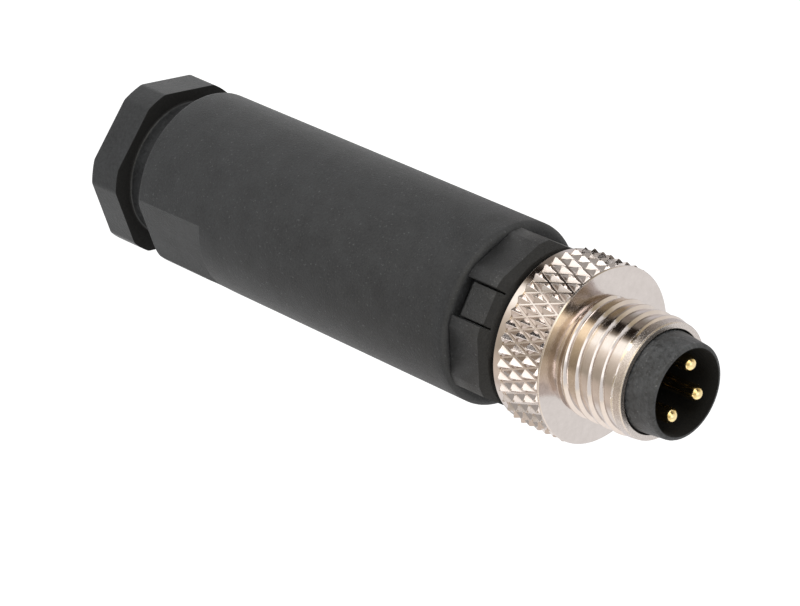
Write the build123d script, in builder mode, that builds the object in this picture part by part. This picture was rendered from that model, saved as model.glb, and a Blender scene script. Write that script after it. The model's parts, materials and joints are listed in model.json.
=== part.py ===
"""Three-pin M8 sensor connector, field-wireable, with a rotating knurled coupling ring.

Millimetres. +Z runs along the connector's axis towards the pins. The origin is the centre
of the clamp nut's rear face, on which the connector stands. -Y points at the wrench flat
that shows in the reference view. Angles are measured about +Z from +X.
"""

import os
from math import cos, pi, radians, sin, tan

from build123d import *

# Fits between mating pieces, radial unless a name says otherwise
thread_clearance = 0.08
ring_clearance = 0.06
press_clearance = 0.03
seal_clearance = 0.08
guide_clearance = 0.1
o_ring_clearance = 0.05

# Housing
housing_front_diameter = 12.0
housing_rear_diameter = 11.6
housing_length = 27.63
housing_front_rounding = 0.45
housing_rear_rounding = 0.35
housing_rim_wall = 1.07
wrench_flat_depth = 0.55
wrench_flat_length = 5.8
wrench_flat_angle = 90.0
wrench_flat_wall = 0.67
cable_passage_length = 1.2
cavity_relief = 0.18

# Clamp nut, shown not fully tightened
nut_across_flats = 10.7
nut_corner_height = 0.425
nut_corner_blend = 0.7
nut_head_length = 2.45
nut_rear_chamfer = 0.2
nut_head_gap = 1.95
neck_engagement = 5.0
neck_root_chamfer = 0.12
cable_hole_diameter = 5.6
cable_hole_chamfer = 0.5
cone_mouth_wall = 0.5
cone_length = 3.9

# Clamp cage
cage_bore_step = 0.05
cage_ring_length = 1.6
cage_stand_off = 1.0
cage_tip_recess = 0.585
cage_tip_wall = 0.35
cage_cone_clearance = 0.12
cage_finger_count = 8
cage_slot_width = 0.6
cage_tooth_depth = 0.18
cage_tooth_count = 4

# Cable seal
seal_length = 5.2
seal_bore_step = 0.3
seal_bore_inset = 0.15
seal_groove_depth = 0.3
seal_groove_count = 4
cable_passage_step = 0.2

# Contact carrier: terminal body, threaded spigot and castellated flange
spigot_length = 5.75
terminal_body_length = 6.4
terminal_body_clearance = 0.2
flange_length = 3.05
flange_gap = 0.12
flange_setback = 0.15
flange_flat_depth = 0.65
flange_flat_offset = 90.0
facet_depth = 0.25
facet_offset = 37.0
index_block_angle = 216.1
index_block_half_angle = 12.8
index_block_depth = 0.35
index_groove_width = 0.45
index_groove_depth = 0.85
flange_chamfer_length = 0.7
flange_chamfer_depth = 0.4
socket_depth = 5.2

# O-ring in the housing's groove
o_ring_section = 0.56
o_ring_groove_width = 0.7
o_ring_groove_setback = 1.03

# Coupling ring with its diamond knurl; the thread is a plain cylinder here
ring_end_play = 0.2
ring_flange_diameter = 11.6
ring_flange_length = 4.26
ring_rim_depth = 0.23
ring_rim_width = 0.85
ring_rim_chamfer = 0.35
ring_lip_depth = 0.07
ring_lip_width = 0.12
ring_thread_diameter = 7.9
ring_thread_reach = 4.89
ring_undercut_depth = 0.2
ring_undercut_width = 0.25
ring_pilot_length = 0.8
ring_pilot_depth = 0.2
ring_pilot_chamfer = 0.12
ring_thread_wall = 0.7
ring_counterbore_step = 0.15
ring_counterbore_depth = 0.65
knurl_count = 40
knurl_helix_angle = 24.2
knurl_depth = 0.35
knurl_land = 0.05

# Contact insert
nose_wall = 0.37
nose_step = 0.09
nose_taper = 0.18
nose_rim_rounding = 0.22
nose_reach = 1.99
nose_bore_depth = 5.64
nose_shoulder_play = 0.1
coding_angle = 220.9
key_width = 1.0
key_height = 0.55
key_setback = 0.9
stem_key_width = 1.4
stem_key_depth = 0.4

# Contact pins, the middle one opposite the coding key
pin_diameter = 1.0
pin_circle_radius = 1.68
pin_spacing_angle = 90.0
pin_tip_setback = 0.45
pin_shoulder_diameter = 1.6
pin_shoulder_length = 1.8
pin_tail_diameter = 0.8
pin_tail_length = 1.6

# Terminal blocks and their screws
block_length = 5.4
block_width = 2.2
block_inner_radius = 1.1
block_cover = 0.5
block_mitre = 0.35
wire_hole_diameter = 1.5
wire_hole_cover = 1.4
wire_hole_depth = 3.6
screw_diameter = 1.5
screw_length = 1.05
screw_height = 1.8
screw_slot_width = 0.3
screw_slot_depth = 0.35
screw_window_diameter = 2.0

# Radii that follow from the housing
spigot_radius = housing_front_diameter / 2 - housing_rim_wall - thread_clearance
cavity_radius = spigot_radius + thread_clearance - cavity_relief
terminal_body_radius = cavity_radius - terminal_body_clearance
flange_radius = housing_front_diameter / 2 - flange_setback
wrench_flat_apothem = housing_rear_diameter / 2 - wrench_flat_depth
neck_radius = wrench_flat_apothem - wrench_flat_wall - thread_clearance
seal_bore_radius = neck_radius - seal_bore_step
cage_radius = seal_bore_radius - guide_clearance
cone_mouth_radius = neck_radius - cone_mouth_wall
cable_hole_radius = cable_hole_diameter / 2
cage_bore_radius = cable_hole_radius - cage_bore_step
seal_inner_radius = cable_hole_radius - seal_bore_inset
cable_passage_radius = cable_hole_radius + cable_passage_step
o_ring_inner_radius = spigot_radius + o_ring_clearance
o_ring_groove_radius = o_ring_inner_radius + o_ring_section + o_ring_clearance

# Radii that follow from the coupling thread
ring_flange_radius = ring_flange_diameter / 2
ring_thread_radius = ring_thread_diameter / 2
ring_bore_radius = ring_thread_radius - ring_thread_wall
stem_radius = ring_bore_radius - ring_clearance
nose_bore_radius = stem_radius - nose_wall
nose_base_radius = stem_radius + nose_step

# Terminal blocks fill their pockets in the terminal body
block_outer_radius = terminal_body_radius - block_cover
wire_hole_position = block_outer_radius - wire_hole_cover

# Levels along the axis
z_housing_rear = nut_head_length + nut_head_gap
z_neck_end = z_housing_rear + neck_engagement
z_nut_thread_end = z_neck_end + nut_head_gap + thread_clearance
z_cone_start = z_neck_end - cone_length
z_cage_tip = z_cone_start + cage_tip_recess
z_cage_ring = z_neck_end + cage_stand_off
z_cage_front = z_cage_ring + cage_ring_length
z_seal_rear = z_cage_front + seal_clearance
z_seal_shoulder = z_seal_rear + seal_length
z_cavity_floor = z_seal_shoulder + cable_passage_length
z_housing_front = z_housing_rear + housing_length
z_o_ring_groove = z_housing_front - o_ring_groove_setback - o_ring_groove_width
z_flange_rear = z_housing_front + flange_gap
z_flange_front = z_flange_rear + flange_length
z_spigot_rear = z_flange_rear - spigot_length
z_body_rear = z_spigot_rear - terminal_body_length
z_socket_floor = z_flange_front - socket_depth
z_ring_rear = z_flange_front + ring_end_play
z_ring_face = z_ring_rear + ring_flange_length
z_ring_front = z_ring_face + ring_thread_reach
z_counterbore = z_ring_front - ring_counterbore_depth
z_nose_shoulder = z_counterbore + nose_shoulder_play
z_nose_tip = z_ring_front + nose_reach
z_nose_floor = z_nose_tip - nose_bore_depth
z_pin_tip = z_nose_tip - pin_tip_setback
z_pin_shoulder = z_spigot_rear + pin_shoulder_length

pin_angles = {
    "1": coding_angle - pin_spacing_angle,
    "3": coding_angle + pin_spacing_angle,
    "4": coding_angle + 2 * pin_spacing_angle,
}


def around(radius, angle):
    """Point in plan at this radius and angle."""
    return (radius * cos(radians(angle)), radius * sin(radians(angle)))


def turned(angle):
    """Turn about the connector's axis."""
    return Location((0, 0, 0), (0, 0, angle))


pin_points = [around(pin_circle_radius, angle) for angle in pin_angles.values()]


def make_clamp_nut():
    """Hexagonal head and threaded neck, bored for the cable and coned inside for the cage."""
    with BuildPart() as nut:
        with BuildSketch():
            RegularPolygon(nut_across_flats / 2, 6, major_radius=False)
            Circle(nut_across_flats / 2 + nut_corner_height, mode=Mode.INTERSECT)
        extrude(amount=nut_head_length)
        fillet(nut.edges().filter_by(Axis.Z), nut_corner_blend)
        chamfer(nut.faces().sort_by(Axis.Z)[0].edges(), nut_rear_chamfer)
        with BuildSketch(Plane.XZ):
            with BuildLine():
                Polyline(
                    (0, nut_head_length),
                    (neck_radius + neck_root_chamfer, nut_head_length),
                    (neck_radius, nut_head_length + neck_root_chamfer),
                    (neck_radius, z_neck_end),
                    (0, z_neck_end),
                    close=True,
                )
            make_face()
        revolve(axis=Axis.Z)
        with BuildSketch(Plane.XZ):
            with BuildLine():
                Polyline(
                    (0, 0),
                    (cable_hole_radius + cable_hole_chamfer, 0),
                    (cable_hole_radius, cable_hole_chamfer),
                    (cable_hole_radius, z_cone_start),
                    (cone_mouth_radius, z_neck_end),
                    (0, z_neck_end),
                    close=True,
                )
            make_face()
        revolve(axis=Axis.Z, mode=Mode.SUBTRACT)
    return nut.part


def make_clamp_cage():
    """Ring whose fingers reach back into the nut's cone, with gripping teeth inside."""
    cone_slope = (cone_mouth_radius - cable_hole_radius) / cone_length
    root_radius = cone_mouth_radius - cage_cone_clearance
    tip_radius = cable_hole_radius + cone_slope * cage_tip_recess - cage_cone_clearance
    tip_bore_radius = min(cage_bore_radius, tip_radius - cage_tip_wall)
    tooth_pitch = (z_cage_ring - z_cage_tip) / (cage_tooth_count + 1)
    with BuildPart() as cage:
        with BuildSketch(Plane.XZ):
            with BuildLine():
                Polyline(
                    (tip_bore_radius, z_cage_tip),
                    (tip_radius, z_cage_tip),
                    (root_radius, z_neck_end),
                    (root_radius, z_cage_ring),
                    (cage_radius, z_cage_ring),
                    (cage_radius, z_cage_front),
                    (cage_bore_radius, z_cage_front),
                    (cage_bore_radius, z_cage_ring),
                    close=True,
                )
            make_face()
        revolve(axis=Axis.Z)
        with BuildSketch(Plane.XZ):
            for number in range(cage_tooth_count):
                z_tooth = z_cage_tip + tooth_pitch * (number + 1)
                with BuildLine():
                    Polyline(
                        (cable_passage_radius / 2, z_tooth - tooth_pitch / 2),
                        (cage_bore_radius, z_tooth - tooth_pitch / 2),
                        (cage_bore_radius + cage_tooth_depth, z_tooth),
                        (cage_bore_radius, z_tooth + tooth_pitch / 4),
                        (cable_passage_radius / 2, z_tooth + tooth_pitch / 4),
                        close=True,
                    )
                make_face()
        revolve(axis=Axis.Z, mode=Mode.SUBTRACT)
        with BuildSketch(Plane.XY.offset(z_cage_tip)):
            with PolarLocations(cage_radius / 2, cage_finger_count):
                Rectangle(cage_radius, cage_slot_width)
        extrude(amount=z_cage_ring - z_cage_tip, mode=Mode.SUBTRACT)
    return cage.part


def make_cable_seal():
    """Rubber sleeve with sealing lips inside."""
    groove_pitch = seal_length / (seal_groove_count + 1)
    with BuildPart() as seal:
        with BuildSketch(Plane.XY.offset(z_seal_rear)):
            Circle(seal_bore_radius - seal_clearance)
            Circle(seal_inner_radius, mode=Mode.SUBTRACT)
        extrude(amount=seal_length)
        with BuildSketch(Plane.XZ):
            for number in range(seal_groove_count):
                with Locations((seal_inner_radius, z_seal_rear + groove_pitch * (number + 1))):
                    Rectangle(2 * seal_groove_depth, groove_pitch / 2)
        revolve(axis=Axis.Z, mode=Mode.SUBTRACT)
    return seal.part


def make_housing():
    """Tapered sleeve with two wrench flats, threaded at both ends and shouldered for the seal."""
    front_bore_radius = spigot_radius + thread_clearance
    z_front_bore = z_spigot_rear - thread_clearance
    z_groove_end = z_o_ring_groove + o_ring_groove_width
    with BuildPart() as housing:
        with BuildSketch(Plane.XZ):
            with BuildLine():
                Polyline(
                    (0, z_housing_rear),
                    (housing_rear_diameter / 2, z_housing_rear),
                    (housing_front_diameter / 2, z_housing_front),
                    (0, z_housing_front),
                    close=True,
                )
            make_face()
        revolve(axis=Axis.Z)
        rims = housing.edges().filter_by(GeomType.CIRCLE).sort_by(Axis.Z)
        fillet(rims[-1], housing_front_rounding)
        fillet(housing.edges().filter_by(GeomType.CIRCLE).sort_by(Axis.Z)[0], housing_rear_rounding)
        with BuildSketch(Plane.XY.offset(z_housing_rear)):
            for side in (0, 180):
                with Locations(turned(wrench_flat_angle + side)):
                    with Locations((wrench_flat_apothem + housing_front_diameter / 2, 0)):
                        Rectangle(housing_front_diameter, housing_front_diameter)
        extrude(amount=wrench_flat_length, mode=Mode.SUBTRACT)
        with BuildSketch(Plane.XZ):
            with BuildLine():
                Polyline(
                    (0, z_housing_rear),
                    (neck_radius + thread_clearance, z_housing_rear),
                    (neck_radius + thread_clearance, z_nut_thread_end),
                    (seal_bore_radius, z_nut_thread_end),
                    (seal_bore_radius, z_seal_shoulder),
                    (cable_passage_radius, z_seal_shoulder),
                    (cable_passage_radius, z_cavity_floor),
                    (cavity_radius, z_cavity_floor),
                    (cavity_radius, z_front_bore),
                    (front_bore_radius, z_front_bore),
                    (front_bore_radius, z_o_ring_groove),
                    (o_ring_groove_radius, z_o_ring_groove),
                    (o_ring_groove_radius, z_groove_end),
                    (front_bore_radius, z_groove_end),
                    (front_bore_radius, z_housing_front),
                    (0, z_housing_front),
                    close=True,
                )
            make_face()
        revolve(axis=Axis.Z, mode=Mode.SUBTRACT)
    return housing.part


def make_o_ring():
    with BuildPart() as o_ring:
        with BuildSketch(Plane.XZ):
            with Locations((o_ring_inner_radius + o_ring_section / 2, z_o_ring_groove + o_ring_groove_width / 2)):
                Circle(o_ring_section / 2)
        revolve(axis=Axis.Z)
    return o_ring.part


def flat_cut(angle, apothem, width):
    """Plan of the material outside a flat at this apothem, facing this angle."""
    with BuildSketch(Plane.XY.offset(z_flange_rear), mode=Mode.PRIVATE) as plan:
        with Locations(turned(angle)):
            with Locations((apothem + flange_radius, 0)):
                Rectangle(2 * flange_radius, width)
    return plan.sketch


def block_outline(clearance):
    """Plan of a terminal block pointing along +X, grown by the clearance."""
    half = block_width / 2 + clearance
    inner = block_inner_radius - clearance
    outer = block_outer_radius + clearance
    with BuildSketch(mode=Mode.PRIVATE) as outline:
        with BuildLine():
            Polyline(
                (inner, block_mitre - half),
                (inner + block_mitre, -half),
                (outer, -half),
                (outer, half),
                (inner + block_mitre, half),
                (inner, half - block_mitre),
                close=True,
            )
        make_face()
    return outline.sketch


def screw_plane(angle, radius):
    """Plane facing outwards at this angle and radius, level with the wire screws."""
    x, y = around(radius, angle)
    level = z_spigot_rear - block_length + screw_height
    return Plane(origin=(x, y, level), x_dir=(0, 0, 1), z_dir=(cos(radians(angle)), sin(radians(angle)), 0))


def make_contact_carrier():
    """Terminal body, threaded spigot and the flange whose flats hold a wrench."""
    with BuildPart() as carrier:
        with BuildSketch(Plane.XZ):
            with BuildLine():
                Polyline(
                    (0, z_body_rear),
                    (terminal_body_radius, z_body_rear),
                    (terminal_body_radius, z_spigot_rear),
                    (spigot_radius, z_spigot_rear),
                    (spigot_radius, z_flange_rear),
                    (flange_radius, z_flange_rear),
                    (flange_radius, z_flange_front - flange_chamfer_length),
                    (flange_radius - flange_chamfer_depth, z_flange_front),
                    (0, z_flange_front),
                    close=True,
                )
            make_face()
        revolve(axis=Axis.Z)
        flat_width = 2 * flange_radius
        index_apothem = flange_radius - index_block_depth
        index_width = 2 * index_apothem * tan(radians(index_block_half_angle))
        for half_turn in (0, 180):
            centre = index_block_angle + half_turn
            wrench_flat = flat_cut(centre + flange_flat_offset, flange_radius - flange_flat_depth, flat_width)
            extrude(wrench_flat, amount=flange_length, mode=Mode.SUBTRACT)
            for side in (-1, 1):
                facet = flat_cut(centre + side * facet_offset, flange_radius - facet_depth, flat_width)
                extrude(facet, amount=flange_length, mode=Mode.SUBTRACT)
            index_block = flat_cut(centre, index_apothem, index_width)
            extrude(index_block, amount=flange_length, mode=Mode.SUBTRACT)
            index_groove = flat_cut(centre, flange_radius - index_groove_depth, index_width)
            extrude(index_groove, amount=index_groove_width, mode=Mode.SUBTRACT)
        with BuildSketch(Plane.XY.offset(z_flange_front)):
            Circle(stem_radius + press_clearance)
            with Locations(turned(coding_angle)):
                with Locations((stem_radius, 0)):
                    Rectangle(2 * (stem_key_depth + press_clearance), stem_key_width + 2 * press_clearance)
        extrude(amount=-socket_depth, mode=Mode.SUBTRACT)
        with BuildSketch(Plane.XY.offset(z_spigot_rear)):
            with Locations(*pin_points):
                Circle(pin_diameter / 2 + press_clearance)
        extrude(amount=z_socket_floor - z_spigot_rear, mode=Mode.SUBTRACT)
        with BuildSketch(Plane.XY.offset(z_spigot_rear)):
            with Locations(*pin_points):
                Circle(pin_shoulder_diameter / 2 + press_clearance)
        extrude(amount=pin_shoulder_length, mode=Mode.SUBTRACT)
        with BuildSketch(Plane.XY.offset(z_body_rear)):
            for angle in pin_angles.values():
                with Locations(turned(angle)):
                    add(block_outline(press_clearance))
        extrude(amount=terminal_body_length, mode=Mode.SUBTRACT)
        for angle in pin_angles.values():
            with BuildSketch(screw_plane(angle, wire_hole_position)):
                Circle(screw_window_diameter / 2)
            extrude(amount=terminal_body_radius, mode=Mode.SUBTRACT)
    return carrier.part


def make_contact_insert():
    """Stem pressed into the carrier and the nose around the pins, with the coding key inside."""
    with BuildPart() as insert:
        with BuildSketch(Plane.XY.offset(z_socket_floor)):
            Circle(stem_radius)
        extrude(amount=z_nose_shoulder - z_socket_floor)
        with BuildSketch(Plane.XY.offset(z_socket_floor)):
            with Locations(turned(coding_angle)):
                with Locations((stem_radius, 0)):
                    Rectangle(2 * stem_key_depth, stem_key_width)
        extrude(amount=socket_depth)
        with BuildSketch(Plane.XZ):
            with BuildLine():
                Polyline(
                    (0, z_nose_shoulder),
                    (nose_base_radius, z_nose_shoulder),
                    (nose_base_radius, z_ring_front),
                    (nose_base_radius - nose_taper, z_nose_tip),
                    (0, z_nose_tip),
                    close=True,
                )
            make_face()
        revolve(axis=Axis.Z)
        fillet(insert.edges().filter_by(GeomType.CIRCLE).sort_by(Axis.Z)[-1], nose_rim_rounding)
        with BuildSketch(Plane.XY.offset(z_nose_tip)):
            Circle(nose_bore_radius)
        extrude(amount=-nose_bore_depth, mode=Mode.SUBTRACT)
        with BuildSketch(Plane.XY.offset(z_nose_floor)):
            with Locations(turned(coding_angle)):
                with Locations((nose_bore_radius + nose_wall / 2, 0)):
                    Rectangle(2 * key_height + nose_wall, key_width)
            Circle(nose_bore_radius + nose_wall / 2, mode=Mode.INTERSECT)
        extrude(amount=nose_bore_depth - key_setback)
        with BuildSketch(Plane.XY.offset(z_nose_floor)):
            with Locations(*pin_points):
                Circle(pin_diameter / 2 + press_clearance)
        extrude(amount=z_socket_floor - z_nose_floor, mode=Mode.SUBTRACT)
    return insert.part


def knurl_planes(hand):
    """Planes square to the knurl's grooves of one hand, at the grooves' rear ends."""
    lean = hand * sin(radians(knurl_helix_angle))
    planes = []
    for number in range(knurl_count):
        x, y = around(1, 360 * number / knurl_count)
        along = Vector(-y * lean, x * lean, cos(radians(knurl_helix_angle)))
        middle = Vector(x * ring_flange_radius, y * ring_flange_radius, (z_ring_rear + z_ring_face) / 2)
        planes.append(Plane(origin=middle - along * ring_flange_length, x_dir=(x, y, 0), z_dir=along))
    return planes


def make_coupling_ring():
    """Ring that turns on the insert's stem, trapped between the flange and the nose."""
    rim_radius = ring_flange_radius - ring_rim_depth
    lip_radius = ring_flange_radius - ring_lip_depth
    undercut_radius = ring_thread_radius - ring_undercut_depth
    pilot_radius = ring_thread_radius - ring_pilot_depth
    z_rim = z_ring_rear + ring_rim_width
    z_lip = z_ring_face - ring_lip_width
    z_thread = z_ring_face + ring_undercut_width
    z_pilot = z_ring_front - ring_pilot_length
    groove_pitch = 2 * pi * ring_flange_radius / knurl_count * cos(radians(knurl_helix_angle))
    groove_half_width = (groove_pitch - knurl_land) / 2
    groove_top = knurl_land
    groove_top_half_width = groove_half_width * (1 + groove_top / knurl_depth)
    with BuildPart() as ring:
        with BuildSketch(Plane.XY.offset(z_rim)):
            Circle(ring_flange_radius)
        extrude(amount=z_lip - z_rim)
        for hand in (-1, 1):
            with BuildSketch(*knurl_planes(hand)):
                Polygon(
                    (-knurl_depth, 0),
                    (groove_top, -groove_top_half_width),
                    (groove_top, groove_top_half_width),
                    align=None,
                )
            extrude(amount=2 * ring_flange_length, mode=Mode.SUBTRACT)
        with BuildSketch(Plane.XZ):
            with BuildLine():
                Polyline(
                    (0, z_ring_rear),
                    (rim_radius - ring_rim_chamfer, z_ring_rear),
                    (rim_radius, z_ring_rear + ring_rim_chamfer),
                    (rim_radius, z_rim),
                    (undercut_radius, z_rim),
                    (undercut_radius, z_lip),
                    (lip_radius, z_lip),
                    (lip_radius, z_ring_face),
                    (undercut_radius, z_ring_face),
                    (undercut_radius, z_thread),
                    (ring_thread_radius, z_thread),
                    (ring_thread_radius, z_pilot),
                    (pilot_radius, z_pilot),
                    (pilot_radius, z_ring_front - ring_pilot_chamfer),
                    (pilot_radius - ring_pilot_chamfer, z_ring_front),
                    (0, z_ring_front),
                    close=True,
                )
            make_face()
        revolve(axis=Axis.Z)
        with BuildSketch(Plane.XY.offset(z_ring_rear)):
            Circle(ring_bore_radius)
        extrude(amount=z_ring_front - z_ring_rear, mode=Mode.SUBTRACT)
        with BuildSketch(Plane.XY.offset(z_counterbore)):
            Circle(ring_bore_radius + ring_counterbore_step)
        extrude(amount=ring_counterbore_depth, mode=Mode.SUBTRACT)
    return ring.part


def make_pin(angle):
    """Turned pin: tail for the terminal block, shoulder that seats in the carrier, rounded tip."""
    pin_radius = pin_diameter / 2
    z_tail = z_spigot_rear - pin_tail_length
    with BuildPart() as pin:
        with BuildSketch(Plane.XZ):
            with BuildLine():
                Polyline(
                    (0, z_pin_tip),
                    (0, z_tail),
                    (pin_tail_diameter / 2, z_tail),
                    (pin_tail_diameter / 2, z_spigot_rear),
                    (pin_shoulder_diameter / 2, z_spigot_rear),
                    (pin_shoulder_diameter / 2, z_pin_shoulder),
                    (pin_radius, z_pin_shoulder),
                    (pin_radius, z_pin_tip - pin_radius),
                )
                RadiusArc((pin_radius, z_pin_tip - pin_radius), (0, z_pin_tip), -pin_radius)
            make_face()
        revolve(axis=Axis.Z)
    return pin.part.moved(Location((*around(pin_circle_radius, angle), 0)))


def make_terminal_block(angle):
    """Brass block with a hole for the wire, one for the pin's tail and one for the screw."""
    with BuildPart() as block:
        with BuildSketch(Plane.XY.offset(z_spigot_rear)):
            with Locations(turned(angle)):
                add(block_outline(0))
        extrude(amount=-block_length)
        with BuildSketch(Plane.XY.offset(z_spigot_rear)):
            with Locations(around(pin_circle_radius, angle)):
                Circle(pin_tail_diameter / 2 + press_clearance)
        extrude(amount=-pin_tail_length - press_clearance, mode=Mode.SUBTRACT)
        with BuildSketch(Plane.XY.offset(z_spigot_rear - block_length)):
            with Locations(around(wire_hole_position, angle)):
                Circle(wire_hole_diameter / 2)
        extrude(amount=wire_hole_depth, mode=Mode.SUBTRACT)
        with BuildSketch(screw_plane(angle, wire_hole_position)):
            Circle(screw_diameter / 2 + press_clearance)
        extrude(amount=block_outer_radius, mode=Mode.SUBTRACT)
    return block.part


def make_terminal_screw(angle):
    """Headless slotted screw, standing out of its block by the depth of its slot."""
    head_plane = screw_plane(angle, block_outer_radius + screw_slot_depth)
    with BuildPart() as screw:
        with BuildSketch(head_plane):
            Circle(screw_diameter / 2)
        extrude(amount=-screw_length)
        with BuildSketch(head_plane):
            Rectangle(screw_slot_width, 2 * screw_diameter)
        extrude(amount=-screw_slot_depth, mode=Mode.SUBTRACT)
    return screw.part


def save(part, name):
    part.label = name
    export_step(part, f"parts/{name}.step")


os.makedirs("parts", exist_ok=True)
save(make_clamp_nut(), "clamp_nut")
save(make_clamp_cage(), "clamp_cage")
save(make_cable_seal(), "cable_seal")
save(make_housing(), "housing")
save(make_o_ring(), "housing_o_ring")
save(make_contact_carrier(), "contact_carrier")
save(make_contact_insert(), "contact_insert")
save(make_coupling_ring(), "coupling_ring")
for number, angle in pin_angles.items():
    save(make_pin(angle), f"pin_{number}")
    save(make_terminal_block(angle), f"terminal_block_{number}")
screws = Compound(children=[make_terminal_screw(angle) for angle in pin_angles.values()])
save(screws, "terminal_screws")
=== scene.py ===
"""Looks of the three-pin M8 sensor connector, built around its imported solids.

Metres, in the connector's own frame: +Z runs along the axis towards the pins, and the clamp
nut's rear face lies at z = 0. The stage's floor is lower, clear of the nut's travel.
"""
import json
import math

import bmesh
import bpy
from mathutils import Matrix, Quaternion, Vector


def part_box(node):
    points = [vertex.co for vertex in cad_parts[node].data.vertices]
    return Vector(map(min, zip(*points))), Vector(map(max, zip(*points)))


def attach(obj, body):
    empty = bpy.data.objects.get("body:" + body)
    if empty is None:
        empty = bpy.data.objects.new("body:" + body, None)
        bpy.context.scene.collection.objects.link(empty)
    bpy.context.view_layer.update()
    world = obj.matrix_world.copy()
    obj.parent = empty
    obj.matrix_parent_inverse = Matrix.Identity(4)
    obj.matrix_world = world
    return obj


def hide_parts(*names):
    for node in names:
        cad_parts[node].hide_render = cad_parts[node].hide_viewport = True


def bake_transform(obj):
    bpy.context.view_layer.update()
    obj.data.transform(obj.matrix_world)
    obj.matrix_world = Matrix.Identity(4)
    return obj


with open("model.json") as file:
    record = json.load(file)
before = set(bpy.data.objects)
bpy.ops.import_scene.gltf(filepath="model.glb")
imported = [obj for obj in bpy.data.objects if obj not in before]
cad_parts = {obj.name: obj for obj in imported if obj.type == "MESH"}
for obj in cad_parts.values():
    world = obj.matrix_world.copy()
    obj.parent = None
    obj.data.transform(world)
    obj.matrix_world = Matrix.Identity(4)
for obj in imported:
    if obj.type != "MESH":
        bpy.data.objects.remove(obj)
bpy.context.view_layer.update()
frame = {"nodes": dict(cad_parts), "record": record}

mm = 0.001
record = frame["record"]
nodes = frame["nodes"]
mounts = {mount["name"]: mount for mount in record["mounts"]}

# Camera, as it stood for the photograph
camera_aim = Vector((2.645, -0.831, 22.165)) * mm
camera_distance = 376.7 * mm
camera_azimuth = math.radians(33.755)
camera_elevation = math.radians(-38.749)
camera_roll = math.radians(114.227)
camera_lens = 270.0
camera_sensor = 36.0
camera_near = 10 * mm
camera_far = 10.0

# Stage: lamps as place and edge in millimetres and power in watts
lamps = [
    ("key", (-260, 60, 120), 220, 0.45),
    ("side", (40, -300, 140), 200, 0.30),
    ("front", (-60, -60, 380), 160, 0.06),
]
world_light = 0.25
world_white = 1.0
z_floor = -9.0 * mm
floor_size = 1.5
floor_level = 0.8
floor_glow = 0.75
card_sides = 96

# Coupling ring, from its solid and its mount
ring_low, ring_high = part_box("coupling_ring")
z_ring_rear = ring_low.z
z_ring_front = ring_high.z
thread_radius = mounts["coupling_thread"]["dims"]["r_mm"] * mm
thread_length = mounts["coupling_thread"]["dims"]["length_mm"] * mm
z_thread_rear = mounts["coupling_thread"]["pos_m"][2] - thread_length / 2
undercut_width = 0.25 * mm
undercut_radius = 3.73 * mm
undercut_blend = 0.03 * mm
arc_middle = 0.3
z_ring_face = z_thread_rear - undercut_width
z_thread_start = z_ring_face + undercut_blend
thread_overrun = 0.25 * mm
z_pilot = z_thread_rear + thread_length + thread_overrun
rim_radius = 5.57 * mm
rim_width = 0.85 * mm
rim_chamfer = 0.35 * mm
lip_radius = 5.73 * mm
lip_width = 0.12 * mm
lip_bevel = 0.04 * mm
z_rim = z_ring_rear + rim_width
z_lip = z_ring_face - lip_width
knurl_radius = 5.8 * mm
knurl_near = knurl_radius - 0.02 * mm
knurl_depth = 0.35 * mm
knurl_land = 0.05
knurl_valley = 0.14
knurl_count = 40
knurl_helix = math.radians(24.2)
knurl_cells = 8
knurl_span = z_lip - z_rim
knurl_rows = round(knurl_span * knurl_count * math.tan(knurl_helix) * knurl_cells / math.pi / knurl_radius)
thread_pitch = 1.0 * mm
thread_depth = 0.22 * mm
thread_crest = 0.12 * mm
thread_flank = 0.13 * mm
thread_level = 40.27 * mm
thread_fade = 0.06 * mm
thread_spare_turns = 2
pilot_radius = 3.86 * mm
pilot_rim_radius = 3.8 * mm
pilot_chamfer = 0.07 * mm
bore_radius = 3.25 * mm
counterbore_radius = 3.4 * mm
counterbore_depth = 0.65 * mm
ring_weld = 0.002 * mm

# Nut, nose, pins and the slots beside the carrier's index block
z_nut_head = 2.45 * mm
# Depth of the painted shade on the nut's front face
nut_shade_depth = 0.05 * mm
nose_bore_radius = 2.82 * mm
z_pin_shank = 45.2 * mm
pin_reach = 0.28 * mm
flange_chamfer = 0.87 * mm
index_angle = math.radians(216.1)
index_half = math.radians(12.1)
slot_width = 0.13 * mm
slot_floor = 5.05 * mm
slot_top = 6.2 * mm
slot_rear = z_ring_rear - 3.3 * mm
slot_front = z_ring_rear - 0.3 * mm

solid_weld = 2e-7
sharp_angle = math.radians(32.0)

# Finishes
bevel_samples = 6
cloud_size = 1.6 * mm
cloud_share = 0.35
fleck_size = 0.17 * mm
fleck_low = 0.66
fleck_high = 0.8
fleck_brightness = 7
plastic_warmth = -0.03
sheen_sway = 0.1
# Painted shade inside a bore: its grey and how it fades out
painted_gap_shade = 0.002
gap_fade = 0.06 * mm
# Painted shade band: how it fades in and out along the axis, how dark it is and how much duller
band_rise = 0.04 * mm
band_fall = 0.02 * mm
painted_shade_darkness = 0.3
band_dulling = 0.4
scratch_size = 0.5 * mm
sand_size = 0.09 * mm
sand_share = 0.6
scratch_height = 0.1
sand_height = 0.4
sand_roughness = 0.15
knurl_roughness = (0.1, 0.16)
thread_roughness = (0.1, 0.14)
z_bright_start = z_ring_face + 0.05 * mm
z_bright_full = z_ring_face + 0.2 * mm
z_sand_start = z_pilot - 0.1 * mm
z_sand_full = z_pilot + 0.05 * mm
nickel_relief = 0.03 * mm
nickel_edge = 0.03 * mm
nickel_dark = (0.62, 0.565, 0.535, 1)
nickel_light = (0.69, 0.63, 0.6, 1)
sand_dark = (0.44, 0.4, 0.37, 1)
sand_light = (0.74, 0.68, 0.64, 1)
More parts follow.
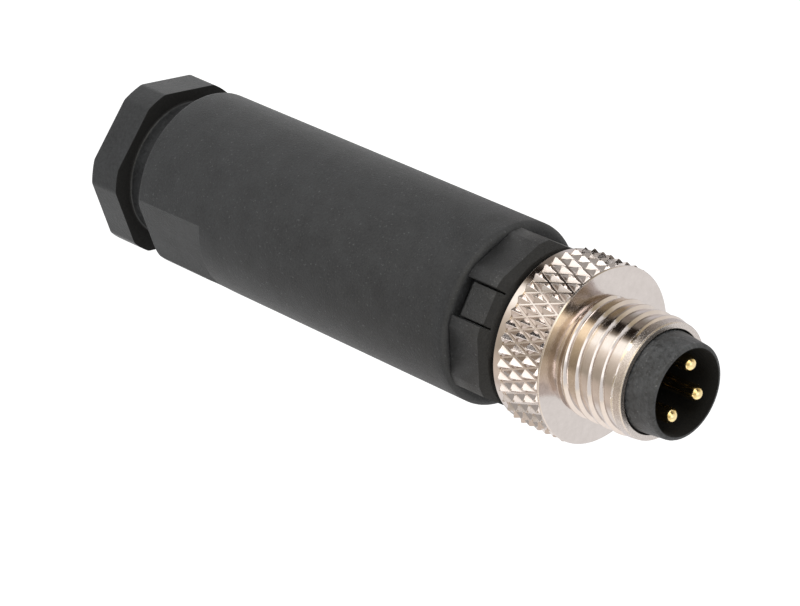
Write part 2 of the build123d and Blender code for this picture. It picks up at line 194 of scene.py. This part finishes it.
# Painted shade inside the counterbore and bore: its grey and how it fades out
counterbore_painted_shade = 0.03
counterbore_fade = 0.03 * mm
turning_size = 0.25 * mm
turning_shade = 0.85
turning_sway = 0.06
turning_relief = 0.006 * mm


class Wire:
    """A value in a material: a socket's output, or a number, that takes part in arithmetic."""

    def __init__(self, finish, value):
        self.finish = finish
        self.value = value

    def maths(self, operation, *others):
        values = [self, *others]
        return self.finish.node("ShaderNodeMath", {"operation": operation}, dict(enumerate(values)))[0]

    def __add__(self, other):
        return self.maths("ADD", other)

    def __rsub__(self, other):
        return Wire(self.finish, other).maths("SUBTRACT", self)

    def __mul__(self, other):
        return self.maths("MULTIPLY", other)

    def __truediv__(self, other):
        return self.maths("DIVIDE", other)

    def __pow__(self, other):
        return self.maths("POWER", other)


class Outputs:
    """A node's outputs, by name or place."""

    def __init__(self, finish, node):
        self.finish = finish
        self.node = node

    def __getitem__(self, name):
        return Wire(self.finish, self.node.outputs[name])


class Finish:
    """One procedural material around a Principled shader."""

    def __init__(self, name):
        self.material = bpy.data.materials.new(name)
        self.material.use_nodes = True
        self.tree = self.material.node_tree
        self.shader = self.tree.nodes["Principled BSDF"]

    def node(self, kind, settings=None, values=None):
        """Adds a node: first its settings, with a ramp's stops among them, then its sockets."""
        made = self.tree.nodes.new(kind)
        for name, setting in (settings or {}).items():
            if name == "stops":
                ramp = made.color_ramp
                while len(ramp.elements) < len(setting):
                    ramp.elements.new(0.5)
                for element, (position, colour) in zip(ramp.elements, setting):
                    element.position = position
                    element.color = (*colour, 1.0)
            else:
                setattr(made, name, setting)
        for name, value in (values or {}).items():
            self.feed(made.inputs[name], value)
        return Outputs(self, made)

    def feed(self, socket, value):
        """Links a wire to the socket, or sets the socket's own value."""
        if isinstance(value, Wire):
            value = value.value
        if isinstance(value, bpy.types.NodeSocket):
            self.tree.links.new(value, socket)
        else:
            socket.default_value = value

    def set(self, **values):
        """Feeds the shader's sockets; underscores stand for the spaces in their names."""
        for name, value in values.items():
            self.feed(self.shader.inputs[name.replace("_", " ")], value)

    def place(self):
        """Object coordinates, in metres."""
        return self.node("ShaderNodeTexCoord")["Object"]

    def split(self, vector):
        parts = self.node("ShaderNodeSeparateXYZ", {}, {"Vector": vector})
        return parts["X"], parts["Y"], parts["Z"]

    def noise(self, place, size, detail, roughness=0.5):
        """Noise whose features measure about this size, from 0 to 1."""
        values = {"Vector": place, "Scale": 1.0 / size, "Detail": detail, "Roughness": roughness}
        return self.node("ShaderNodeTexNoise", {}, values)["Fac"]

    def mix_colour(self, share, first, second):
        """Blends two colours; the node's sockets share their names, so they go by place."""
        made = self.node("ShaderNodeMix", {"data_type": "RGBA"})
        self.feed(made.node.inputs[0], share)
        self.feed(made.node.inputs[6], first)
        self.feed(made.node.inputs[7], second)
        return Wire(self, made.node.outputs[2])

    def range(self, value, low, high, new_low=0.0, new_high=1.0):
        values = {"Value": value, "From Min": low, "From Max": high, "To Min": new_low, "To Max": new_high}
        return self.node("ShaderNodeMapRange", {}, values)["Result"]

    def spread(self, noise, new_low=0.0, new_high=1.0):
        """Stretches the middle of a noise over the whole range."""
        return self.range(noise, 0.3, 0.7, new_low, new_high)

    def beyond(self, place, radius, fade):
        """0 within this radius of the axis, and 1 outside it."""
        across, along = self.split(place)[:2]
        return self.range((across * across + along * along) ** 0.5, radius, radius + fade)

    def bump(self, height, distance, normal=None):
        values = {"Height": height, "Distance": distance, "Strength": 1.0}
        if normal is not None:
            values["Normal"] = normal
        return self.node("ShaderNodeBump", {}, values)["Normal"]

    def rounded(self, radius):
        """Normal that rounds the piece's sharp edges off for light alone."""
        return self.node("ShaderNodeBevel", {"samples": bevel_samples}, {"Radius": radius})["Normal"]


def grey(level, warmth=0.0):
    return (level * (1 + warmth), level, level * (1 - warmth), 1.0)


def polyamide(name, level, grain, grain_height, roughness, speck=0.0, mottle=0.5, edge=0.06 * mm,
              gloss=0.3, painted_shade_within=None, painted_shade_band=None):
    """Matt moulded plastic: soft mottling, a fine grain and a few light specks, with painted shade inside a
    radius of the axis and in a band along it.
    """
    finish = Finish(name)
    place = finish.place()
    clouds = finish.noise(place, cloud_size, detail=3.0)
    fine = finish.noise(place, grain, detail=3.0, roughness=0.7)
    flecks = finish.range(finish.noise(place, fleck_size, detail=1.0), fleck_low, fleck_high)
    tint = finish.spread(clouds) * cloud_share + finish.spread(fine) * (1 - cloud_share)
    darker = grey(level * (1 - mottle), plastic_warmth)
    lighter = grey(level * (1 + mottle), plastic_warmth)
    tone = finish.mix_colour(tint, darker, lighter)
    colour = finish.mix_colour(flecks * speck, tone, grey(level * fleck_brightness))
    normal = finish.bump(fine, grain_height, normal=finish.rounded(edge))
    sheen = finish.range(fine, 0.25, 0.75, roughness - sheen_sway, roughness + sheen_sway)
    # Painted shade: near black and fully rough inside this radius of the axis, for the shade deep in a bore
    if painted_shade_within:
        outside = finish.beyond(place, painted_shade_within, gap_fade)
        colour = finish.mix_colour(outside, grey(painted_gap_shade), colour)
        sheen = sheen * outside + (1 - outside)
    # Painted shade: a band along the axis made darker and duller, for the shade in a narrow gap
    if painted_shade_band:
        up = finish.split(place)[2]
        low, high = painted_shade_band
        below = finish.range(up, low - band_rise, low)
        shaded = below * finish.range(up, high, high + band_fall, 1.0, 0.0)
        colour = finish.mix_colour(shaded, colour, grey(level * painted_shade_darkness))
        sheen = sheen + shaded * band_dulling
    finish.set(Base_Color=colour, Roughness=sheen, Normal=normal, Specular_IOR_Level=gloss)
    return finish.material


def nickel_plate():
    """Nickel-plated brass: satin on the knurl and face, brighter on the thread, sandy on the pilot, with
    painted shade in the counterbore and bore.
    """
    finish = Finish("nickel_plate")
    place = finish.place()
    up = finish.split(place)[2]
    scratches = finish.noise(place, scratch_size, detail=4.0, roughness=0.65)
    sand = finish.noise(place, sand_size, detail=2.0, roughness=0.7)
    on_pilot = finish.range(up, z_sand_start, z_sand_full)
    on_thread = finish.range(up, z_bright_start, z_bright_full)
    satin = finish.spread(scratches, *knurl_roughness)
    bright = finish.spread(scratches, *thread_roughness)
    roughness = satin * (1 - on_thread) + bright * on_thread
    clean = finish.mix_colour(finish.range(scratches, 0.3, 0.75), nickel_dark, nickel_light)
    sandy = finish.mix_colour(finish.range(sand, 0.35, 0.7), sand_dark, sand_light)
    plate = finish.mix_colour(on_pilot * sand_share, clean, sandy)
    # Painted shade: near black inside the counterbore's radius
    outside = finish.beyond(place, counterbore_radius, counterbore_fade)
    height = scratches * scratch_height + sand * on_pilot * sand_height
    finish.set(Base_Color=finish.mix_colour(outside, grey(counterbore_painted_shade), plate), Metallic=1.0,
               Roughness=roughness + on_pilot * sand_roughness,
               Normal=finish.bump(height, nickel_relief, normal=finish.rounded(nickel_edge)))
    return finish.material


def plated(name, colour, roughness):
    """Plain plated or turned metal with faint turning marks."""
    finish = Finish(name)
    marks = finish.noise(finish.place(), turning_size, detail=3.0)
    darker = tuple(channel * turning_shade for channel in colour[:3]) + (1.0,)
    finish.set(Base_Color=finish.mix_colour(finish.spread(marks), darker, colour), Metallic=1.0,
               Roughness=finish.spread(marks, roughness, roughness + turning_sway),
               Normal=finish.bump(marks, turning_relief))
    return finish.material


def object_from(bm, name):
    """Turns the bmesh into an object of the scene."""
    mesh = bpy.data.meshes.new(name)
    bm.to_mesh(mesh)
    bm.free()
    made = bpy.data.objects.new(name, mesh)
    bpy.context.scene.collection.objects.link(made)
    return made


def piece_from(bm, name, body, material):
    """Makes the bmesh a piece of the connector, smooth but for its sharp edges."""
    piece = object_from(bm, name)
    piece.data.shade_smooth()
    piece.data.set_sharp_from_angle(angle=sharp_angle)
    piece.data.materials.append(material)
    if body:
        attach(piece, body)
    return piece


def ring_outline():
    """The ring's open half section, from the thread's front round to its rear, with each stretch's cuts."""
    return [
        ((pilot_radius, z_pilot), 2),
        ((pilot_rim_radius, z_ring_front - pilot_chamfer), 0),
        ((pilot_rim_radius - pilot_chamfer, z_ring_front), 0),
        ((counterbore_radius, z_ring_front), 0),
        ((counterbore_radius, z_ring_front - counterbore_depth), 0),
        ((bore_radius, z_ring_front - counterbore_depth), 0),
        ((bore_radius, z_ring_rear), 0),
        ((rim_radius - rim_chamfer, z_ring_rear), 0),
        ((rim_radius, z_ring_rear + rim_chamfer), 0),
        ((rim_radius, z_rim), 0),
        ((knurl_radius, z_rim), knurl_rows - 1),
        ((knurl_radius, z_lip), 0),
        ((lip_radius, z_lip), 0),
        ((lip_radius, z_ring_face - lip_bevel), 0),
        ((lip_radius - lip_bevel, z_ring_face), 0),
        ((undercut_radius + undercut_blend, z_ring_face), 0),
        ((undercut_radius + undercut_blend * arc_middle, z_ring_face + undercut_blend * arc_middle), 0),
        ((undercut_radius, z_thread_start), 0),
    ]


def knurled(angle, height):
    """Radius of the diamond knurl at this angle and height."""
    turn = knurl_count * angle / math.tau
    rise = height / knurl_span * knurl_rows / (2 * knurl_cells)
    slopes = [abs(2 * ((turn + side * rise) % 1.0) - 1) for side in (-1, 1)]
    deepest = min(max(slopes), 1 - knurl_valley)
    return knurl_radius - knurl_depth * max(0.0, deepest - knurl_land) / (1 - knurl_valley - knurl_land)


def threaded(angle, height):
    """Radius of the coupling thread at this angle and height, fading in and out at its ends."""
    phase = ((height - thread_level) / thread_pitch - angle / math.tau) % 1.0
    away = min(phase, 1 - phase) * thread_pitch - thread_crest / 2
    radius = thread_radius - thread_depth * min(1.0, max(0.0, away / thread_flank))
    run_in = min(1.0, max(0.0, (height - z_thread_start) / thread_fade))
    run_out = min(1.0, max(0.0, (z_pilot - height) / thread_fade))
    radius = undercut_radius + (radius - undercut_radius) * run_in
    return pilot_radius + (radius - pilot_radius) * run_out


def polar(vert):
    return vert.co.xy.length, math.atan2(vert.co.y, vert.co.x)


def set_radius(vert, radius, angle):
    vert.co.x = radius * math.cos(angle)
    vert.co.y = radius * math.sin(angle)


def turned_round(bm, profile, columns, lead=0.0):
    """Spins the profile through an eighth of a turn and repeats that round the axis, rising by the lead."""
    old = set(bm.verts) | set(bm.edges) | set(bm.faces)
    old.difference_update(profile)
    bmesh.ops.spin(bm, geom=profile, cent=(0, 0, 0), axis=(0, 0, 1), angle=math.tau / 8,
                   dvec=(0, 0, lead / columns), steps=columns // 8, use_merge=False)
    band = [item for item in (*bm.verts, *bm.edges, *bm.faces) if item not in old]
    for share in (1 / 8, 1 / 4, 1 / 2):
        copied = bmesh.ops.duplicate(bm, geom=band)["geom"]
        verts = [item for item in copied if isinstance(item, bmesh.types.BMVert)]
        bmesh.ops.rotate(bm, cent=(0, 0, 0), matrix=Matrix.Rotation(math.tau * share, 3, "Z"), verts=verts)
        bmesh.ops.translate(bm, vec=(0, 0, lead * share), verts=verts)
        band += copied
    return [item for item in band if isinstance(item, bmesh.types.BMVert)]


def add_thread(bm, columns):
    """Spins the thread's rows along their helix, then stops them level with the ring's own edges."""
    steps = [0.0, thread_crest / 2, thread_crest / 2 + thread_flank, thread_pitch / 2,
             thread_pitch - thread_crest / 2 - thread_flank, thread_pitch - thread_crest / 2]
    turns_needed = round((z_pilot - z_thread_start) / thread_pitch)
    turns = range(-thread_spare_turns, turns_needed + thread_spare_turns)
    first = thread_level + thread_pitch * (math.floor((z_thread_start - thread_level) / thread_pitch))
    levels = [first + turn * thread_pitch + step for turn in turns for step in steps]
    row = [bm.verts.new((thread_radius, 0, level)) for level in levels]
    edges = [bm.edges.new(pair) for pair in zip(row, row[1:])]
    for vert in turned_round(bm, row + edges, columns, thread_pitch):
        vert.co.z = min(z_pilot, max(z_thread_start, vert.co.z))
        angle = polar(vert)[1]
        set_radius(vert, threaded(angle, vert.co.z), angle)


def make_coupling_ring(material):
    """Knurled ring and rolled thread, spun from an open half section and closed by the thread."""
    outline = ring_outline()
    columns = knurl_count * 2 * knurl_cells
    bm = bmesh.new()
    corners = [bm.verts.new((radius, 0, height)) for (radius, height), cuts in outline]
    edges = [bm.edges.new(pair) for pair in zip(corners, corners[1:])]
    for edge, (place, cuts) in zip(edges, outline):
        if cuts:
            bmesh.ops.subdivide_edges(bm, edges=[edge], cuts=cuts)
    turned_round(bm, bm.verts[:] + bm.edges[:], columns)
    flank = [face for face in bm.faces
             if face.calc_center_median().xy.length > knurl_near
             and z_rim < face.calc_center_median().z < z_lip]
    bmesh.ops.poke(bm, faces=flank)
    for vert in bm.verts:
        radius, angle = polar(vert)
        if radius > knurl_near:
            set_radius(vert, knurled(angle, vert.co.z - z_rim), angle)
    add_thread(bm, columns)
    bmesh.ops.remove_doubles(bm, verts=bm.verts, dist=ring_weld)
    bmesh.ops.dissolve_degenerate(bm, edges=bm.edges, dist=ring_weld)
    bmesh.ops.recalc_face_normals(bm, faces=bm.faces)
    ring = piece_from(bm, "knurled_coupling_ring", "coupling_ring", material)
    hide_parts("coupling_ring")


def merged_copy(node):
    """A solid's own mesh, its doubles merged."""
    bm = bmesh.new()
    bm.from_mesh(nodes[node].data)
    bmesh.ops.remove_doubles(bm, verts=bm.verts, dist=solid_weld)
    bmesh.ops.recalc_face_normals(bm, faces=bm.faces)
    return bm


def make_cable_seal(material):
    """Rubber sleeve between the housing's shoulder and the cage."""
    seal = piece_from(merged_copy("cable_seal"), "rubber_cable_seal", None, material)
    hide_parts("cable_seal")
    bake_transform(seal)


def make_slotted_carrier(material):
    """The carrier with the fine slots on both sides of its index block, which the solid leaves out."""
    copy = merged_copy("contact_carrier")
    carrier = piece_from(copy, "slotted_contact_carrier", "carrier", material)
    size = Vector((slot_top - slot_floor, slot_width, slot_front - slot_rear))
    middle = Vector(((slot_top + slot_floor) / 2, 0, (slot_front + slot_rear) / 2))
    bm = bmesh.new()
    for side in (-1, 1):
        block = bmesh.ops.create_cube(bm, size=1.0)["verts"]
        bmesh.ops.scale(bm, vec=size, verts=block)
        bmesh.ops.translate(bm, vec=middle, verts=block)
        turn = Matrix.Rotation(index_angle + side * index_half, 3, "Z")
        bmesh.ops.rotate(bm, cent=(0, 0, 0), matrix=turn, verts=block)
    cutter = object_from(bm, "slot_cutter")
    carrier.modifiers.new("slots", "BOOLEAN").object = cutter
    graph = bpy.context.evaluated_depsgraph_get()
    slotted = bpy.data.meshes.new_from_object(carrier.evaluated_get(graph))
    carrier.modifiers.clear()
    bpy.data.objects.remove(cutter)
    slotted.set_sharp_from_angle(angle=sharp_angle)
    carrier.data = slotted
    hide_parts("contact_carrier")


def make_long_pin(number, material):
    """The pin's own mesh, its tip moved out to where it stands in the nose."""
    bm = merged_copy(f"pin_{number}")
    tip = [vert for vert in bm.verts if vert.co.z > z_pin_shank]
    bmesh.ops.translate(bm, vec=(0, 0, pin_reach), verts=tip)
    pin = piece_from(bm, f"turned_pin_{number}", "carrier", material)
    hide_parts(f"pin_{number}")


def make_camera():
    sideways = math.cos(camera_elevation)
    forward = Vector((sideways * math.cos(camera_azimuth), sideways * math.sin(camera_azimuth),
                      math.sin(camera_elevation)))
    camera = bpy.data.objects.new("camera", bpy.data.cameras.new("camera"))
    bpy.context.scene.collection.objects.link(camera)
    camera.data.lens = camera_lens
    camera.data.sensor_fit = "HORIZONTAL"
    camera.data.sensor_width = camera_sensor
    camera.data.clip_start = camera_near
    camera.data.clip_end = camera_far
    camera.rotation_mode = "QUATERNION"
    camera.rotation_quaternion = forward.to_track_quat("-Z", "Y") @ Quaternion((0, 0, 1), camera_roll)
    camera.location = camera_aim - forward * camera_distance
    bpy.context.scene.camera = camera


def seen_share(tree):
    """1 for what camera, glass and mirror rays see, and 0 for the light that falls on things."""
    path = tree.nodes.new("ShaderNodeLightPath")
    share = path.outputs["Is Camera Ray"]
    for ray in ("Is Transmission Ray", "Is Glossy Ray"):
        larger = tree.nodes.new("ShaderNodeMath")
        larger.operation = "MAXIMUM"
        tree.links.new(share, larger.inputs[0])
        tree.links.new(path.outputs[ray], larger.inputs[1])
        share = larger.outputs[0]
    return share


def make_world():
    world = bpy.data.worlds.new("studio")
    bpy.context.scene.world = world
    world.use_nodes = True
    tree = world.node_tree
    background = tree.nodes["Background"]
    strength = tree.nodes.new("ShaderNodeMapRange")
    strength.inputs["To Min"].default_value = world_light
    strength.inputs["To Max"].default_value = world_white
    tree.links.new(seen_share(tree), strength.inputs["Value"])
    tree.links.new(strength.outputs["Result"], background.inputs["Strength"])
    background.inputs["Color"].default_value = (1, 1, 1, 1)


def make_floor():
    """A pale floor, low enough to clear the nut when it and the housing are screwed out."""
    bm = bmesh.new()
    bmesh.ops.create_grid(bm, x_segments=1, y_segments=1, size=floor_size)
    bmesh.ops.translate(bm, vec=(0, 0, z_floor), verts=bm.verts)
    floor = object_from(bm, "floor")
    finish = Finish("pale_floor")
    seen = Wire(finish, seen_share(finish.tree))
    finish.set(Base_Color=grey(floor_level), Roughness=0.9, Specular_IOR_Level=0.0,
               Emission_Color=(1, 1, 1, 1), Emission_Strength=seen * floor_glow)
    floor.data.materials.append(finish.material)


def make_lamp(name, place, edge, power):
    light = bpy.data.lights.new(name, "AREA")
    light.shape = "RECTANGLE"
    light.size = edge * mm
    light.size_y = edge * mm
    light.energy = power
    lamp = bpy.data.objects.new(name, light)
    lamp.location = Vector(place) * mm
    lamp.rotation_mode = "QUATERNION"
    lamp.rotation_quaternion = (camera_aim - lamp.location).to_track_quat("-Z", "Y")
    bpy.context.scene.collection.objects.link(lamp)


def make_card(name, near, far, strength, stops):
    """A card round the axis that only mirrors see, coloured by its stops' bearings in degrees.

    It is open above and below, between two edges given as radius and height in millimetres.
    """
    bm = bmesh.new()
    bmesh.ops.create_circle(bm, cap_ends=False, segments=card_sides, radius=near[0] * mm)
    loop = bmesh.ops.extrude_edge_only(bm, edges=bm.edges[:])
    outer = [item for item in loop["geom"] if isinstance(item, bmesh.types.BMVert)]
    growth = far[0] / near[0]
    bmesh.ops.scale(bm, vec=(growth, growth, 1), verts=outer)
    bmesh.ops.translate(bm, vec=(0, 0, (far[1] - near[1]) * mm), verts=outer)
    bmesh.ops.translate(bm, vec=(0, 0, near[1] * mm), verts=bm.verts)
    card = object_from(bm, name)
    finish = Finish(name)
    across, along = finish.split(finish.place())[:2]
    turn = along.maths("ARCTAN2", across) / math.tau
    colours = [(bearing / 360, tuple(part / strength for part in colour)) for bearing, colour in stops]
    bands = finish.node("ShaderNodeValToRGB", {"stops": colours}, {"Fac": turn.maths("FRACT")})["Color"]
    finish.set(Base_Color=(0, 0, 0, 1), Roughness=1.0, Specular_IOR_Level=0.0, Emission_Color=bands,
               Emission_Strength=strength)
    finish.material.cycles.emission_sampling = "NONE"
    card.data.materials.append(finish.material)
    card.visible_camera = False
    card.visible_diffuse = False
    card.visible_shadow = False
    card.visible_transmission = False


def make_cards():
    """Cards whose reflections band the metal: under the ring, on the floor, low down and high up."""
    plain = (0.5, 0.48, 0.46)
    collar_bands = [(0, plain), (360, plain)]
    make_card("collar_card", near=(6.6, 30.5), far=(10.2, 30.5), strength=1.0, stops=collar_bands)
    floor_bands = [
        (0, (0.98, 0.96, 0.98)), (48, (0.7, 0.67, 0.68)), (98, (0.7, 0.67, 0.68)), (112, (0.42, 0.4, 0.36)),
        (122, (0.28, 0.24, 0.21)), (136, (0.26, 0.23, 0.2)), (144, (0.02, 0.015, 0.012)),
        (162, (0.02, 0.015, 0.012)), (170, (0.3, 0.25, 0.2)), (178, (1.55, 1.5, 1.4)),
        (198, (1.6, 1.58, 1.5)), (208, (1.2, 1.1, 0.98)), (220, (0.84, 0.76, 0.66)), (240, (0.6, 0.53, 0.44)),
        (256, (0.5, 0.45, 0.37)), (268, (0.72, 0.63, 0.54)), (290, (0.84, 0.74, 0.65)),
        (304, (0.76, 0.68, 0.62)), (318, (1.0, 0.97, 0.94)), (360, (0.98, 0.96, 0.98)),
    ]
    make_card("floor_bands", near=(36, 1), far=(420, 1), strength=1.6, stops=floor_bands)
    low_bands = [
        (0, (1, 1, 1)), (165, (1, 1, 1)), (178, (1.9, 1.85, 1.8)), (228, (1.9, 1.85, 1.8)), (245, (1, 1, 1)),
        (360, (1, 1, 1)),
    ]
    make_card("low_wall", near=(420, 1), far=(420, 110), strength=2.0, stops=low_bands)
    high_bands = [
        (0, (1.25, 1.2, 1.15)), (14, (1, 1, 1)), (56, (1, 1, 1)), (72, (1.0, 0.97, 0.93)),
        (92, (0.9, 0.83, 0.72)), (106, (0.5, 0.43, 0.3)), (130, (0.42, 0.35, 0.23)),
        (146, (0.05, 0.04, 0.03)), (160, (0.06, 0.05, 0.035)), (168, (0.6, 0.5, 0.33)),
        (178, (2.2, 2.0, 1.5)), (197, (2.1, 1.9, 1.4)), (208, (1.2, 1.05, 0.75)), (224, (0.9, 0.8, 0.57)),
        (240, (0.62, 0.54, 0.38)), (256, (0.5, 0.43, 0.3)), (270, (0.95, 0.85, 0.65)),
        (300, (1.0, 0.92, 0.76)), (326, (1.35, 1.27, 1.17)), (360, (1.25, 1.2, 1.15)),
    ]
    make_card("high_wall", near=(150, 74), far=(150, 270), strength=2.2, stops=high_bands)


def dress_nodes():
    """Makes the pieces that stand in for pins, seal and carrier, and gives the other solids their finish."""
    housing = polyamide("grained_housing_black", level=0.036, grain=0.13 * mm, grain_height=0.04 * mm,
                        roughness=0.52, speck=0.25)
    # The nut's front face, in the gap before the housing, gets painted shade
    nut = polyamide("moulded_nut_black", level=0.030, grain=0.2 * mm, grain_height=0.03 * mm,
                    roughness=0.45, mottle=0.55, painted_shade_band=(z_nut_head, z_nut_head + nut_shade_depth))
    # The flange's front, from its chamfer up to the ring's front, gets painted shade
    carrier = polyamide("speckled_flange_black", level=0.030, grain=0.12 * mm, grain_height=0.05 * mm,
                        roughness=0.4, speck=0.5, edge=0.1 * mm, gloss=0.5,
                        painted_shade_band=(z_ring_rear - flange_chamfer, z_ring_front))
    # The inside of the insert's bore gets painted shade
    insert = polyamide("mottled_insert_grey", level=0.06, grain=0.3 * mm, grain_height=0.1 * mm,
                       roughness=0.5, speck=0.35, mottle=0.8, edge=0.12 * mm, gloss=0.4,
                       painted_shade_within=nose_bore_radius)
    cage = polyamide("plain_cage_black", level=0.030, grain=0.15 * mm, grain_height=0.004 * mm,
                     roughness=0.45)
    rubber = polyamide("seal_rubber", level=0.020, grain=0.2 * mm, grain_height=0.004 * mm, roughness=0.62)
    gold = plated("gold_plate", colour=(0.95, 0.77, 0.42, 1), roughness=0.12)
    brass = plated("turned_brass", colour=(0.78, 0.6, 0.3, 1), roughness=0.24)
    screw = plated("nickel_screws", colour=(0.72, 0.69, 0.66, 1), roughness=0.25)
    finishes = {"housing": housing, "clamp_nut": nut, "contact_insert": insert, "clamp_cage": cage,
                "housing_o_ring": rubber, "terminal_screws": screw}
    for number in ("1", "3", "4"):
        make_long_pin(number, gold)
        finishes[f"terminal_block_{number}"] = brass
    make_cable_seal(rubber)
    make_slotted_carrier(carrier)
    for name, material in finishes.items():
        for place in nodes[name].material_slots:
            place.link = "OBJECT"
            place.material = material


bpy.context.scene.view_settings.view_transform = "Standard"
make_camera()
make_world()
make_floor()
for lamp in lamps:
    make_lamp(*lamp)
make_cards()
dress_nodes()
make_coupling_ring(nickel_plate())
